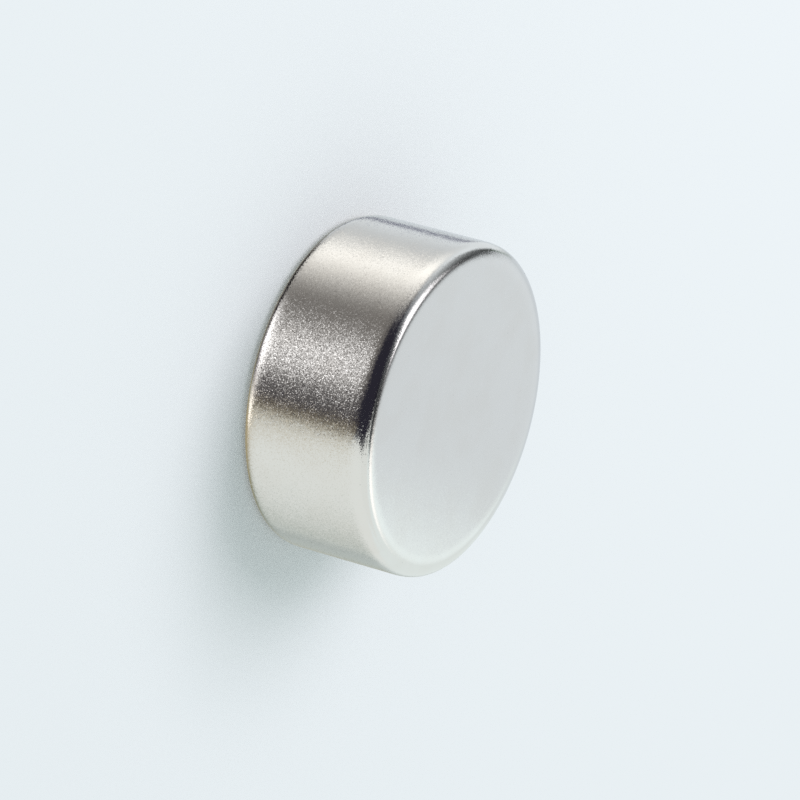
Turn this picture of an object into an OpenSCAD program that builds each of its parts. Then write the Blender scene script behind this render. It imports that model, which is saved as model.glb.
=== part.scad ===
// Cylinder magnet: one sintered and plated round block, its edges rounded by tumbling.
// It stands on one flat face: +Z is the axis, and the origin is the centre of the lower face.

/* [Cylinder] */
// Diameter over the round wall
diameter = 24; // [8:0.5:60]
// Thickness between the two flat faces
thickness = 10; // [5:0.5:30]

/* [Edges] */
// Radius that tumbling leaves where the wall turns into a flat face
edge_radius = 0.85; // [0.2:0.05:2]

/* [Hidden] */
$fn = 180;

nickel = [0.80, 0.79, 0.77];

wall_radius = diameter / 2;
face_radius = wall_radius - edge_radius;
wall_low = edge_radius;
wall_high = thickness - edge_radius;

// Half of the upright section, from the axis out to the wall: a core that reaches both flat
// faces, a band that reaches the wall, and a disc that rounds each of the two corners.
module half_section() {
    square([face_radius, thickness]);
    translate([0, wall_low])
        square([wall_radius, wall_high - wall_low]);
    for (height = [wall_low, wall_high])
        translate([face_radius, height])
            circle(r = edge_radius);
}

module magnet() {
    color(nickel)
        rotate_extrude()
            half_section();
}

magnet();
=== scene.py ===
"""A cylinder magnet with a nickel finish, standing on its flat face on a pale studio floor."""

import math
from typing import NamedTuple

import bpy
import numpy as np
from mathutils import Matrix, Vector


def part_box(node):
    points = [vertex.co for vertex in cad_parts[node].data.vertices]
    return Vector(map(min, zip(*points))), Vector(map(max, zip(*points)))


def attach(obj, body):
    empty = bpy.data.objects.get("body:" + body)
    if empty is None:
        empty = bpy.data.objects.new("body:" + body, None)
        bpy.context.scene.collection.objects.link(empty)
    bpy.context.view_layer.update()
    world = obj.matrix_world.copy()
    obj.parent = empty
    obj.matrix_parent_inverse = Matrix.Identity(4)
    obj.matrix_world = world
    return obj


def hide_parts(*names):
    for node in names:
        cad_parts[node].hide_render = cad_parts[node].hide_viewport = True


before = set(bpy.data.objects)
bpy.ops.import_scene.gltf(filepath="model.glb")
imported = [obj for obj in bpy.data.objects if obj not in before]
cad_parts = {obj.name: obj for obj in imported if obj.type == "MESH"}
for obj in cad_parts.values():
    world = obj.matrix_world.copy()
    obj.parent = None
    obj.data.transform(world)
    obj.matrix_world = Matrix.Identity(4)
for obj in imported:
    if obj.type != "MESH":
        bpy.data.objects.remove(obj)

bl_info = {
    "name": "Cylinder Magnet",
    "version": (1, 0, 0),
    "blender": (4, 5, 0),
    "location": "3D View > Sidebar > Magnet",
    "description": "Builds a nickel plated cylinder magnet and the studio that it stands in",
    "category": "Object",
}

NODE = "magnet"
BODY = "root"

LOW_CORNER, HIGH_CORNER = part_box(NODE)

# Rows of the disc's surface on the wall above mid-height, on one edge and on one flat face, and its
# columns round the axis.
WALL_ROWS = 6
EDGE_ROWS = 56
FACE_ROWS = 6
COLUMNS = 640

# How many easing lengths an edge takes on each side of its middle, and the points of its curve there.
EDGE_REACH = 6.0
EDGE_POINTS = 1201

QUARTER_TURN = math.pi / 2


# ---------------------------------------------------------------- sizes and colours


class MagnetShape(bpy.types.PropertyGroup):
    """Sizes of the disc."""

    diameter: bpy.props.FloatProperty(
        name="Diameter",
        description="Across the round wall",
        default=HIGH_CORNER.x - LOW_CORNER.x,
        min=0.001,
        unit="LENGTH",
    )
    thickness: bpy.props.FloatProperty(
        name="Thickness",
        description="Between the two flat faces",
        default=HIGH_CORNER.z - LOW_CORNER.z,
        min=0.001,
        unit="LENGTH",
    )
    wall_easing: bpy.props.FloatProperty(
        name="Wall easing",
        description="Length over which an edge eases into the round wall",
        default=0.00023,
        min=0.00001,
        precision=5,
        unit="LENGTH",
    )
    face_easing: bpy.props.FloatProperty(
        name="Face easing",
        description="Length over which an edge eases into a flat face",
        default=0.00029,
        min=0.00001,
        precision=5,
        unit="LENGTH",
    )


class NickelFinish(bpy.types.PropertyGroup):
    """Colour and surface of the plating."""

    nickel: bpy.props.FloatVectorProperty(
        name="Nickel",
        description="Colour of the clean plating",
        default=(0.80, 0.785, 0.76),
        min=0.0,
        max=1.0,
        subtype="COLOR",
    )
    dull_nickel: bpy.props.FloatVectorProperty(
        name="Dull nickel",
        description="Colour of the cloudy patches in the plating",
        default=(0.785, 0.765, 0.735),
        min=0.0,
        max=1.0,
        subtype="COLOR",
    )
    cloud_size: bpy.props.FloatProperty(
        name="Cloud size",
        description="Rough distance from one cloudy patch to the next",
        default=0.0029,
        precision=5,
        unit="LENGTH",
    )
    pit: bpy.props.FloatVectorProperty(
        name="Pit",
        description="Colour of the few tiny pits in the plating",
        default=(0.35, 0.34, 0.33),
        min=0.0,
        max=1.0,
        subtype="COLOR",
    )
    pit_depth: bpy.props.FloatProperty(
        name="Pit depth",
        description="How much of the pit's colour shows",
        default=0.35,
        subtype="FACTOR",
        min=0.0,
        max=1.0,
    )
    pit_spacing: bpy.props.FloatProperty(
        name="Pit spacing",
        description="Rough distance between pits",
        default=0.0011,
        precision=5,
        unit="LENGTH",
    )
    wall_roughness: bpy.props.FloatProperty(
        name="Wall roughness",
        description="Roughness of the round wall between its grains",
        default=0.12,
        subtype="FACTOR",
        min=0.0,
        max=1.0,
    )
    face_roughness: bpy.props.FloatProperty(
        name="Face roughness",
        description="Roughness of the two flat faces",
        default=0.09,
        subtype="FACTOR",
        min=0.0,
        max=1.0,
    )
    edge_roughness: bpy.props.FloatProperty(
        name="Edge roughness",
        description="Roughness of the edges, which tumbling has rubbed brighter",
        default=0.12,
        subtype="FACTOR",
        min=0.0,
        max=1.0,
    )
    grain_size: bpy.props.FloatProperty(
        name="Grain size",
        description="Distance from one grain of the plating to the next",
        default=0.00005,
        precision=6,
        unit="LENGTH",
    )
    grain_lean: bpy.props.FloatVectorProperty(
        name="Grain lean",
        description="Slopes between which a grain of the wall leans, across the axis twice and along it",
        default=(0.10, 0.10, 0.18),
        min=0.0,
        max=1.0,
        subtype="XYZ",
    )
    edge_grain: bpy.props.FloatProperty(
        name="Edge grain",
        description="Depth of the grain on the edges, as a share of that on the wall",
        default=1.6,
        subtype="FACTOR",
        min=0.0,
        max=4.0,
    )
    face_grain: bpy.props.FloatProperty(
        name="Face grain",
        description="Depth of the grain on the flat faces, as a share of that on the wall",
        default=0.12,
        subtype="FACTOR",
        min=0.0,
        max=4.0,
    )


class StudioLook(bpy.types.PropertyGroup):
    """Colours of the floor, the backdrop and the soft light, and the power of the lamp."""

    floor: bpy.props.FloatVectorProperty(
        name="Floor",
        description="Colour of the floor",
        default=(0.81, 0.865, 0.895),
        min=0.0,
        max=1.0,
        subtype="COLOR",
    )
    backdrop: bpy.props.FloatVectorProperty(
        name="Backdrop",
        description="Colour seen beyond the floor",
        default=(0.80, 0.85, 0.88),
        min=0.0,
        max=1.0,
        subtype="COLOR",
    )
    fill: bpy.props.FloatVectorProperty(
        name="Fill",
        description="Colour of the soft light that fills the room",
        default=(0.66, 0.71, 0.69),
        min=0.0,
        max=1.0,
        subtype="COLOR",
    )
    lamp: bpy.props.FloatVectorProperty(
        name="Lamp",
        description="Colour of the soft lamp over the floor",
        default=(1.0, 0.87, 0.92),
        min=0.0,
        max=1.0,
        subtype="COLOR",
    )
    lamp_power: bpy.props.FloatProperty(
        name="Lamp power",
        description="Power of the soft lamp over the floor",
        default=2.15,
        min=0.0,
        unit="POWER",
    )


# ---------------------------------------------------------------- node trees


class Wire:
    """An output of a node tree. Sums and products of wires and numbers add Math nodes."""

    def __init__(self, tree, socket):
        self.tree = tree
        self.socket = socket

    def _math(self, operation, *operands):
        made = self.tree.node("ShaderNodeMath", {"operation": operation}, dict(enumerate(operands)))
        return self.tree.wire(made, "Value")

    def __add__(self, other):
        return self._math("ADD", self, other)

    def __radd__(self, other):
        return self._math("ADD", other, self)

    def __sub__(self, other):
        return self._math("SUBTRACT", self, other)

    def __rsub__(self, other):
        return self._math("SUBTRACT", other, self)

    def __mul__(self, other):
        return self._math("MULTIPLY", self, other)

    def __rmul__(self, other):
        return self._math("MULTIPLY", other, self)


class Tree:
    """A node tree that is being filled."""

    def __init__(self, node_tree):
        self.node_tree = node_tree
        node_tree.nodes.clear()

    @staticmethod
    def find(sockets, key):
        """A socket by its number, or the one in use with that name."""
        if isinstance(key, int):
            return sockets[key]
        return next(socket for socket in sockets if socket.enabled and socket.name == key)

    def node(self, kind, settings=None, sockets=None):
        """Adds one node: its settings first, then a value or a wire for each socket."""
        made = self.node_tree.nodes.new(kind)
        for name, value in (settings or {}).items():
            setattr(made, name, value)
        for key, value in (sockets or {}).items():
            socket = self.find(made.inputs, key)
            if isinstance(value, Wire):
                self.node_tree.links.new(value.socket, socket)
            else:
                socket.default_value = value
        return made

    def wire(self, made, output):
        """One output of a node, ready for use in an expression."""
        return Wire(self, self.find(made.outputs, output))

    def angle(self, across, ahead):
        """The angle in degrees whose tangent is across over ahead, from -180 to 180."""
        made = self.node("ShaderNodeMath", {"operation": "ARCTAN2"}, {0: across, 1: ahead})
        return self.wire(made, "Value") * math.degrees(1)

    def vector(self, operation, first, second=None, output="Vector"):
        """One Vector Math node on a vector, and on a second vector or a scale where it takes one."""
        sockets = {0: first}
        if second is not None:
            sockets["Scale" if operation == "SCALE" else 1] = second
        made = self.node("ShaderNodeVectorMath", {"operation": operation}, sockets)
        return self.wire(made, output)

    def reach(self, vector, direction):
        """How far a vector reaches along a direction: their dot product."""
        return self.vector("DOT_PRODUCT", vector, direction, "Value")

    def rise(self, value, start, end):
        """Climbs smoothly from 0 to 1 as the value goes from start to end."""
        made = self.node(
            "ShaderNodeMapRange",
            {"interpolation_type": "SMOOTHSTEP"},
            {"Value": value, "From Min": start, "From Max": end},
        )
        return self.wire(made, "Result")

    def blend(self, factor, below, above, label=""):
        """The colour below where the factor is 0, and the colour above where it is 1."""
        made = self.node(
            "ShaderNodeMix",
            {"data_type": "RGBA", "label": label},
            {"Factor": factor, "A": below, "B": above},
        )
        return self.wire(made, "Result")


def opaque(colour):
    """A colour with its alpha."""
    return (*colour, 1.0)


# ---------------------------------------------------------------- the disc


def edge_curve(shape):
    """The rounded edge that tumbling leaves, from the round wall to the flat face.

    At the distance s along the edge from its middle, the surface has turned by a quarter turn /
    (1 + exp(-s / easing)), with the wall's easing before the middle and the face's after it. The turn
    is stretched a little, so that it begins at 0 and ends at a full quarter. Each step along the edge
    goes in by the sine of the turn and up by its cosine. Returns how far in and how far up each row
    is, and its share of the quarter turn. Rows are closer where the edge turns faster.
    """
    along = np.concatenate(
        (
            np.linspace(-EDGE_REACH * shape.wall_easing, 0, EDGE_POINTS)[:-1],
            np.linspace(0, EDGE_REACH * shape.face_easing, EDGE_POINTS),
        )
    )
    easing = np.where(along < 0, shape.wall_easing, shape.face_easing)
    turn = 1 / (1 + np.exp(-along / easing))
    turn = (turn - turn[0]) / (turn[-1] - turn[0])
    angle = (turn[1:] + turn[:-1]) / 2 * QUARTER_TURN
    step = np.diff(along)
    inward = np.concatenate(([0], np.cumsum(np.sin(angle) * step)))
    upward = np.concatenate(([0], np.cumsum(np.cos(angle) * step)))
    spacing = (along - along[0]) / (along[-1] - along[0]) + turn
    rows = np.linspace(spacing[0], spacing[-1], EDGE_ROWS)
    return [np.interp(rows, spacing, values) for values in (inward, upward, turn)]


def disc_section(shape):
    """Upright half section, from the middle of the lower face out and back in over the upper one.

    Its upper half runs up the straight wall, round the edge and in along the flat face, and its lower
    half is the same in a mirror at mid-height. Returns the radius and the height of every row, and its
    turn: 0 on the wall, 1 on a face and between them on an edge.
    """
    wall = shape.diameter / 2
    middle = shape.thickness / 2
    inward, upward, turn = edge_curve(shape)
    edge_start = middle - upward[-1]
    wall_height = np.linspace(0, edge_start, WALL_ROWS + 1)[1:-1]
    face_radius = np.linspace(wall - inward[-1], 0, FACE_ROWS + 1)[1:]
    radius = np.concatenate((np.full(len(wall_height), wall), wall - inward, face_radius))
    height = np.concatenate((wall_height, edge_start + upward, np.full(len(face_radius), middle)))
    turn = np.concatenate((np.zeros(len(wall_height)), turn, np.ones(len(face_radius))))
    return (
        np.concatenate((radius[::-1], radius)),
        middle + np.concatenate((-height[::-1], height)),
        np.concatenate((turn[::-1], turn)),
    )


def disc_surface(shape):
    """The section carried round the axis: (r * cos u, r * sin u, z), for u from 0 to a full turn.

    The first and the last row are single points on the axis. Returns the points, the faces and the
    turn at each point.
    """
    radius, height, turn = disc_section(shape)
    around = np.linspace(0, 2 * np.pi, COLUMNS, endpoint=False)
    inner = slice(1, -1)
    ring_radius = radius[inner, None]
    across = ring_radius * np.cos(around)
    along = ring_radius * np.sin(around)
    upward = np.broadcast_to(height[inner, None], across.shape)
    rings = np.stack((across, along, upward), axis=-1).reshape(-1, 3)
    points = np.concatenate(([[0, 0, height[0]]], rings, [[0, 0, height[-1]]]))
    turns = np.concatenate(([turn[0]], np.repeat(turn[inner], COLUMNS), [turn[-1]]))

    column = np.arange(COLUMNS)
    following = (column + 1) % COLUMNS
    ring_count = len(radius[inner])
    row = 1 + np.arange(ring_count - 1)[:, None] * COLUMNS
    quads = np.stack(
        (row + column, row + following, row + COLUMNS + following, row + COLUMNS + column),
        axis=-1,
    ).reshape(-1, 4)
    last = len(points) - 1
    last_row = last - COLUMNS
    lower_fan = np.stack((np.zeros_like(column), 1 + following, 1 + column), axis=-1)
    upper_fan = np.stack((np.full_like(column, last), last_row + column, last_row + following), axis=-1)
    faces = quads.tolist() + lower_fan.tolist() + upper_fan.tolist()
    return points, faces, turns


def disc_object(shape):
    """The finished disc, smooth all over, with its turn from wall to face in an attribute."""
    points, faces, turns = disc_surface(shape)
    mesh = bpy.data.meshes.new("plated_disc")
    mesh.from_pydata(points.tolist(), [], faces)
    mesh.attributes.new("turn", "FLOAT", "POINT").data.foreach_set("value", turns.astype(np.float32))
    mesh.shade_smooth()
    mesh.validate()
    disc = bpy.data.objects.new("plated_disc", mesh)
    bpy.context.scene.collection.objects.link(disc)
    return disc


# A pit is darkest out to its core and gone at its rim, as shares of the distance between pits.
PIT_CORE = 0.02
PIT_RIM = 0.06

# Detail and roughness of the noise of the clouds, and the noise at which the dull colour starts and
# is full.
CLOUD_DETAIL = 3.0
CLOUD_ROUGHNESS = 0.5
CLOUD_START = 0.4
CLOUD_FULL = 0.7

# The middle of a random colour, and the direction of the disc's axis.
MIDDLE = (0.5, 0.5, 0.5)
UPRIGHT = (0.0, 0.0, 1.0)

# Most grains lean a little and a few lean far. The random vector is scaled by the soft share, plus the
# steep share times the square of its upright part.
GRAIN_SOFT = 0.24
GRAIN_STEEP = 5.6

# Turn times its rest is at most a quarter, so this makes it 1 half-way round an edge.
EDGE_PEAK = 4


def lean_of_grains(tree, place, finish):
    """A random vector for each grain: the slope by which the grain leans."""
    grains = tree.node("ShaderNodeTexVoronoi", None, {"Vector": place, "Scale": 1 / finish.grain_size})
    random = tree.vector("SUBTRACT", tree.wire(grains, "Color"), MIDDLE)
    upright = tree.reach(random, UPRIGHT)
    slope = tree.vector("SCALE", random, GRAIN_SOFT + GRAIN_STEEP * upright * upright)
    return tree.vector("MULTIPLY", slope, finish.grain_lean)


def plating_colour(tree, place, finish):
    """Clean nickel with faint dull clouds and a few tiny pits."""
    noise = {
        "Vector": place,
        "Scale": 1 / finish.cloud_size,
        "Detail": CLOUD_DETAIL,
        "Roughness": CLOUD_ROUGHNESS,
    }
    clouds = tree.wire(tree.node("ShaderNodeTexNoise", None, noise), "Fac")
    dullness = tree.rise(clouds, CLOUD_START, CLOUD_FULL)
    plating = tree.blend(dullness, opaque(finish.nickel), opaque(finish.dull_nickel))
    pits = tree.node("ShaderNodeTexVoronoi", None, {"Vector": place, "Scale": 1 / finish.pit_spacing})
    pit = 1 - tree.rise(tree.wire(pits, "Distance"), PIT_CORE, PIT_RIM)
    return tree.blend(pit * finish.pit_depth, plating, opaque(finish.pit))


def nickel_material(finish):
    """Bright nickel over a sintered block: grainy on the wall and the edges, smooth on the faces."""
    material = bpy.data.materials.new("nickel_plating")
    material.use_nodes = True
    tree = Tree(material.node_tree)
    place = tree.wire(tree.node("ShaderNodeTexCoord"), "Object")
    turn = tree.wire(tree.node("ShaderNodeAttribute", {"attribute_name": "turn"}), "Fac")
    edge = EDGE_PEAK * turn * (1 - turn)
    grain_share = 1 + edge * (finish.edge_grain - 1) + turn * (finish.face_grain - 1)
    lean = tree.vector("SCALE", lean_of_grains(tree, place, finish), grain_share)
    normal = tree.wire(tree.node("ShaderNodeNewGeometry"), "Normal")
    roughness = (
        finish.wall_roughness
        + turn * (finish.face_roughness - finish.wall_roughness)
        + edge * (finish.edge_roughness - finish.wall_roughness)
    )
    shader = tree.node(
        "ShaderNodeBsdfPrincipled",
        None,
        {
            "Base Color": plating_colour(tree, place, finish),
            "Metallic": 1.0,
            "Roughness": roughness,
            "Normal": tree.vector("NORMALIZE", tree.vector("ADD", normal, lean)),
        },
    )
    tree.node("ShaderNodeOutputMaterial", None, {"Surface": tree.wire(shader, "BSDF")})
    return material


class MAGNET_OT_plated_disc(bpy.types.Operator):
    """Add the nickel plated disc in place of the plain solid"""

    bl_idname = "magnet.plated_disc"
    bl_label = "Plated disc"

    def execute(self, context):
        disc = disc_object(context.scene.magnet_shape)
        disc.data.materials.append(nickel_material(context.scene.nickel_finish))
        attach(disc, BODY)
        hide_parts(NODE)
        return {"FINISHED"}


# ---------------------------------------------------------------- the studio


class Card(NamedTuple):
    """A flat panel of the room, far away, that the plating mirrors: a light, a table or a dark wall.

    It faces the disc from an azimuth and an elevation, and is rolled about that line. Seen from the
    disc it covers the angles across and upright from its middle, and each border fades over an angle
    to both sides. All of them are in degrees.
    """

    name: str
    azimuth: float
    elevation: float
    roll: float
    across: tuple
    upright: tuple
    across_fade: tuple
    upright_fade: tuple
    colour: tuple


ROOM_COLOUR = (0.025, 0.024, 0.036)

# Most of these angles and colours were fitted together by a least-squares program outside this script,
# and then rounded. They weren't chosen one by one.
# Later cards stand in front of earlier ones:
# - the dim floor, the large soft window, the pale sky beside it with a thin dark bar, and a dark wall;
# - a shade that outlines the far edge, a lamp that lights up the grains of the wall, and a dark corner;
# - the pale table with its shade, a pale and a warm board on it, and a warm lamp behind the far edge;
# - a board over the table, and a soft glow at one side of the flat face;
# - a slot and a strip of light, which draw the thin lines along the near edge, and a board at its side.
CARDS = (
    Card(
        "dim_floor", azimuth=180, elevation=-62, roll=0,
        across=(-80, 80), upright=(-57, 57), across_fade=(20, 20), upright_fade=(40, 40),
        colour=(0.20, 0.19, 0.18),
    ),
    Card(
        "window", azimuth=180, elevation=5, roll=0,
        across=(-20, 20), upright=(-49, 31), across_fade=(28, 28), upright_fade=(26, 26),
        colour=(1.51, 1.50, 1.44),
    ),
    Card(
        "pale_sky", azimuth=130, elevation=-10, roll=-24,
        across=(-63, 27), upright=(-34, 68), across_fade=(18, 28), upright_fade=(2, 25),
        colour=(0.85, 0.91, 0.95),
    ),
    Card(
        "thin_bar", azimuth=121, elevation=-30, roll=0,
        across=(-4, 4), upright=(-12, 6), across_fade=(2, 2), upright_fade=(2, 4),
        colour=(0.20, 0.21, 0.28),
    ),
    Card(
        "dark_wall", azimuth=118, elevation=32, roll=44,
        across=(-12, 13), upright=(-11, 63), across_fade=(4, 28), upright_fade=(7, 3),
        colour=(0.00, 0.00, 0.00),
    ),
    Card(
        "far_shade", azimuth=-158, elevation=-60, roll=0,
        across=(-30, 8), upright=(-16, 9), across_fade=(4, 2), upright_fade=(2, 4),
        colour=(0.02, 0.02, 0.02),
    ),
    Card(
        "low_lamp", azimuth=-105, elevation=-50, roll=40,
        across=(-16, 17), upright=(-24, 14), across_fade=(10, 12), upright_fade=(3, 14),
        colour=(1.82, 1.82, 1.84),
    ),
    Card(
        "dark_corner", azimuth=-72, elevation=-48, roll=-45,
        across=(0, 30), upright=(-32, 7), across_fade=(6, 2), upright_fade=(40, 9),
        colour=(0.07, 0.05, 0.07),
    ),
    Card(
        "table", azimuth=30, elevation=0, roll=0,
        across=(-88, 18), upright=(-86, 75), across_fade=(5, 7), upright_fade=(22, 3),
        colour=(0.86, 0.90, 0.88),
    ),
    Card(
        "table_shade", azimuth=42, elevation=-30, roll=28,
        across=(-32, 90), upright=(-43, -5), across_fade=(30, 30), upright_fade=(20, 30),
        colour=(0.00, 0.06, 0.00),
    ),
    Card(
        "pale_board", azimuth=82, elevation=0, roll=11,
        across=(-42, 12), upright=(-30, 67), across_fade=(12, 1), upright_fade=(35, 2),
        colour=(0.86, 0.94, 0.94),
    ),
    Card(
        "warm_board", azimuth=25, elevation=-52, roll=6,
        across=(-58, 63), upright=(-25, -3), across_fade=(40, 10), upright_fade=(12, 20),
        colour=(0.47, 0.39, 0.23),
    ),
    Card(
        "warm_lamp", azimuth=-50, elevation=-48, roll=-32,
        across=(-4, 15), upright=(-13, 0), across_fade=(15, 10), upright_fade=(14, 6),
        colour=(2.17, 2.07, 1.89),
    ),
    Card(
        "top_board", azimuth=25, elevation=60, roll=0,
        across=(-28, 28), upright=(-14, 12), across_fade=(4, 4), upright_fade=(4, 2),
        colour=(0.84, 0.88, 0.86),
    ),
    Card(
        "soft_glow", azimuth=80, elevation=28, roll=0,
        across=(5, 7.5), upright=(-6, 6), across_fade=(2, 0.5), upright_fade=(2, 2),
        colour=(1.02, 1.13, 1.14),
    ),
    Card(
        "slot", azimuth=84, elevation=37, roll=10,
        across=(-2, 3), upright=(-4, 4), across_fade=(2, 1), upright_fade=(2, 2),
        colour=(1.36, 1.36, 1.33),
    ),
    Card(
        "bright_strip", azimuth=118, elevation=54, roll=41,
        across=(-21, 3), upright=(-1, 6), across_fade=(4, 12), upright_fade=(5, 1),
        colour=(2.06, 2.06, 2.15),
    ),
    Card(
        "side_board", azimuth=99, elevation=-3, roll=0,
        across=(-13, 12), upright=(-29, 25), across_fade=(5, 3), upright_fade=(4, 13),
        colour=(0.70, 0.76, 0.81),
    ),
)


def card_axes(card):
    """Where a card faces from, and its directions across and upright: a turn, a tilt, then a roll."""
    azimuth = math.radians(card.azimuth)
    elevation = math.radians(card.elevation)
    roll = math.radians(card.roll)
    level = Vector((math.cos(azimuth), math.sin(azimuth), 0.0))
    ahead = level * math.cos(elevation) + Vector((0.0, 0.0, math.sin(elevation)))
    side = Vector((-math.sin(azimuth), math.cos(azimuth), 0.0))
    top = ahead.cross(side)
    across = side * math.cos(roll) + top * math.sin(roll)
    upright = top * math.cos(roll) - side * math.sin(roll)
    return ahead, across, upright


def border(tree, angle, limits, fades):
    """1 between two limits and 0 outside them, with a fade about each."""
    start = tree.rise(angle, limits[0] - fades[0], limits[0] + fades[0])
    end = tree.rise(angle, limits[1] - fades[1], limits[1] + fades[1])
    return start * (1 - end)


def card_cover(tree, direction, card):
    """How much of a direction a card covers, from the angles that it makes with the card's middle."""
    ahead, across, upright = card_axes(card)
    depth = tree.reach(direction, ahead)
    across_angle = tree.angle(tree.reach(direction, across), depth)
    upright_angle = tree.angle(tree.reach(direction, upright), depth)
    return border(tree, across_angle, card.across, card.across_fade) * border(
        tree, upright_angle, card.upright, card.upright_fade
    )


def studio_world(look):
    """The room. Metal mirrors its cards, the camera sees the plain backdrop, and the rest is soft fill."""
    world = bpy.data.worlds.new("studio")
    world.use_nodes = True
    # The fill is even and only mirrored rays meet the cards, so light isn't sampled by its direction.
    world.cycles.sampling_method = "NONE"
    tree = Tree(world.node_tree)
    direction = tree.wire(tree.node("ShaderNodeTexCoord"), "Generated")
    room = opaque(ROOM_COLOUR)
    for card in CARDS:
        room = tree.blend(card_cover(tree, direction, card), room, opaque(card.colour), card.name)
    rays = tree.node("ShaderNodeLightPath")
    light = tree.blend(tree.wire(rays, "Is Glossy Ray"), opaque(look.fill), room)
    seen = tree.blend(tree.wire(rays, "Is Camera Ray"), light, opaque(look.backdrop))
    background = tree.node("ShaderNodeBackground", None, {"Color": seen})
    tree.node("ShaderNodeOutputWorld", None, {"Surface": tree.wire(background, "Background")})
    return world


# The floor's side, and the gap that keeps it from sharing a plane with the disc's lower face.
FLOOR_SIDE = 6.0
FLOOR_GAP = 0.00001

# The floor gives way to the backdrop between these two distances from the disc.
FLOOR_CLEAR = 0.15
FLOOR_GONE = 0.75


def floor_object(look):
    """A wide matt floor just under the disc, which turns into the backdrop far from it.

    The plating mirrors the cards and not the floor.
    """
    half = FLOOR_SIDE / 2
    sides = ((-half, -half), (half, -half), (half, half), (-half, half))
    mesh = bpy.data.meshes.new("studio_floor")
    mesh.from_pydata([(x, y, -FLOOR_GAP) for x, y in sides], [], [(0, 1, 2, 3)])
    material = bpy.data.materials.new("studio_floor")
    material.use_nodes = True
    tree = Tree(material.node_tree)
    place = tree.wire(tree.node("ShaderNodeTexCoord"), "Object")
    squared = tree.reach(place, place)
    shader = tree.node(
        "ShaderNodeBsdfPrincipled",
        None,
        {
            "Base Color": opaque(look.floor),
            "Roughness": 1.0,
            "Specular IOR Level": 0.0,
            "Alpha": 1 - tree.rise(squared, FLOOR_CLEAR**2, FLOOR_GONE**2),
        },
    )
    tree.node("ShaderNodeOutputMaterial", None, {"Surface": tree.wire(shader, "BSDF")})
    mesh.materials.append(material)
    floor = bpy.data.objects.new("studio_floor", mesh)
    floor.visible_glossy = False
    bpy.context.scene.collection.objects.link(floor)
    return floor


LAMP_SIDE = 0.5
LAMP_PLACE = Vector((-0.38, 0.10, 0.50))


def lamp_object(look, middle):
    """A square soft box, turned to the disc. It lights the floor, and the plating doesn't mirror it."""
    light = bpy.data.lights.new("soft_box", "AREA")
    light.shape = "SQUARE"
    light.size = LAMP_SIDE
    light.color = look.lamp
    light.energy = look.lamp_power
    lamp = bpy.data.objects.new("soft_box", light)
    lamp.visible_glossy = False
    lamp.location = LAMP_PLACE
    lamp.rotation_euler = (middle - LAMP_PLACE).to_track_quat("-Z", "Y").to_euler()
    bpy.context.scene.collection.objects.link(lamp)
    return lamp


SENSOR_WIDTH = 36.0
LENS = 240.9
CAMERA_DISTANCE = 0.3737
CAMERA_ELEVATION = math.radians(28.96)
CAMERA_ROLL = math.radians(105.3)

# How far from the disc's middle the camera aims, along the sides of the picture.
AIM_RIGHT = 0.000311
AIM_UP = -0.000294


def camera_object(middle):
    """A long lens that looks down on the disc, rolled so that the disc's axis lies across the picture."""
    level_right = Vector((1.0, 0.0, 0.0))
    level_up = Vector((0.0, math.sin(CAMERA_ELEVATION), math.cos(CAMERA_ELEVATION)))
    backward = level_right.cross(level_up)
    right = level_right * math.cos(CAMERA_ROLL) + level_up * math.sin(CAMERA_ROLL)
    up = level_up * math.cos(CAMERA_ROLL) - level_right * math.sin(CAMERA_ROLL)
    lens = bpy.data.cameras.new("camera")
    lens.sensor_width = SENSOR_WIDTH
    lens.lens = LENS
    camera = bpy.data.objects.new("camera", lens)
    aim = middle + right * AIM_RIGHT + up * AIM_UP
    turn = Matrix((right, up, backward)).transposed().to_4x4()
    camera.matrix_world = Matrix.Translation(aim + backward * CAMERA_DISTANCE) @ turn
    bpy.context.scene.collection.objects.link(camera)
    return camera


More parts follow.
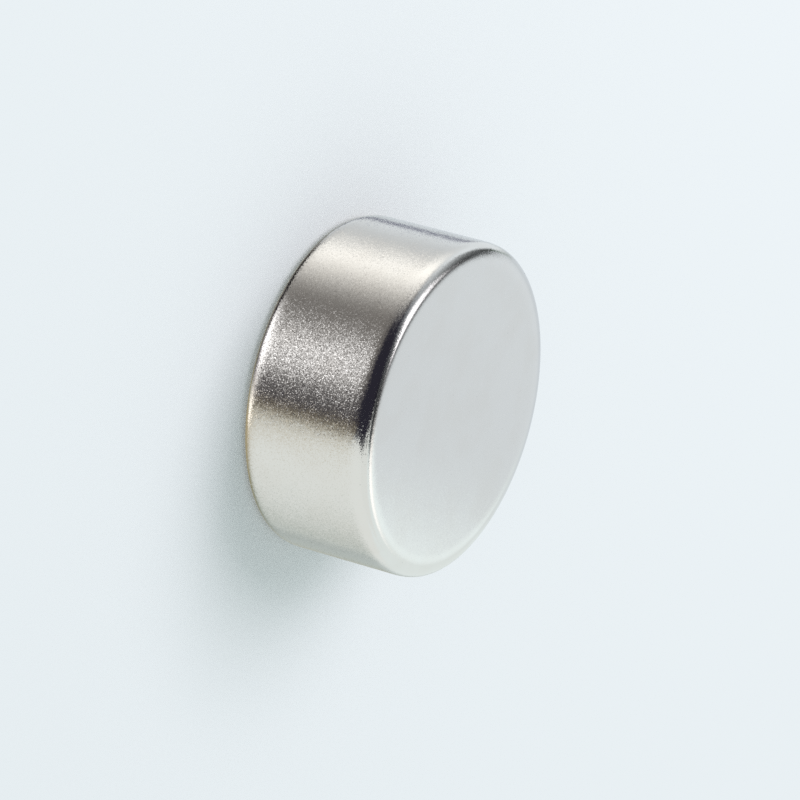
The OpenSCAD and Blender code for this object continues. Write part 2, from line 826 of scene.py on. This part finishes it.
class MAGNET_OT_studio(bpy.types.Operator):
    """Add the floor, the soft light, the mirrored cards and the camera"""

    bl_idname = "magnet.studio"
    bl_label = "Studio"

    def execute(self, context):
        scene = context.scene
        look = scene.studio_look
        middle = Vector((0.0, 0.0, scene.magnet_shape.thickness / 2))
        floor_object(look)
        lamp_object(look, middle)
        scene.world = studio_world(look)
        scene.camera = camera_object(middle)
        scene.view_settings.view_transform = "Standard"
        # Denoising would smear the grain of the plating.
        scene.cycles.use_denoising = False
        return {"FINISHED"}


# ---------------------------------------------------------------- sidebar and registration


class MAGNET_PT_sidebar(bpy.types.Panel):
    """Sizes, finish and studio of the cylinder magnet"""

    bl_idname = "MAGNET_PT_sidebar"
    bl_label = "Cylinder Magnet"
    bl_space_type = "VIEW_3D"
    bl_region_type = "UI"
    bl_category = "Magnet"

    def draw(self, context):
        layout = self.layout
        scene = context.scene
        for group in (scene.magnet_shape, scene.nickel_finish, scene.studio_look):
            box = layout.box()
            for name in group.__annotations__:
                box.prop(group, name)
        layout.operator(MAGNET_OT_plated_disc.bl_idname)
        layout.operator(MAGNET_OT_studio.bl_idname)


CLASSES = (
    MagnetShape,
    NickelFinish,
    StudioLook,
    MAGNET_OT_plated_disc,
    MAGNET_OT_studio,
    MAGNET_PT_sidebar,
)


def register():
    """Registers the classes, and gives the scene their settings."""
    for entry in CLASSES:
        bpy.utils.register_class(entry)
    bpy.types.Scene.magnet_shape = bpy.props.PointerProperty(type=MagnetShape)
    bpy.types.Scene.nickel_finish = bpy.props.PointerProperty(type=NickelFinish)
    bpy.types.Scene.studio_look = bpy.props.PointerProperty(type=StudioLook)


def unregister():
    """Takes the settings and the classes away again."""
    del bpy.types.Scene.studio_look
    del bpy.types.Scene.nickel_finish
    del bpy.types.Scene.magnet_shape
    for entry in reversed(CLASSES):
        bpy.utils.unregister_class(entry)


def main():
    """Builds the disc and its studio."""
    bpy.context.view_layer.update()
    register()
    bpy.ops.magnet.plated_disc()
    bpy.ops.magnet.studio()


if __name__ == "__main__":
    main()
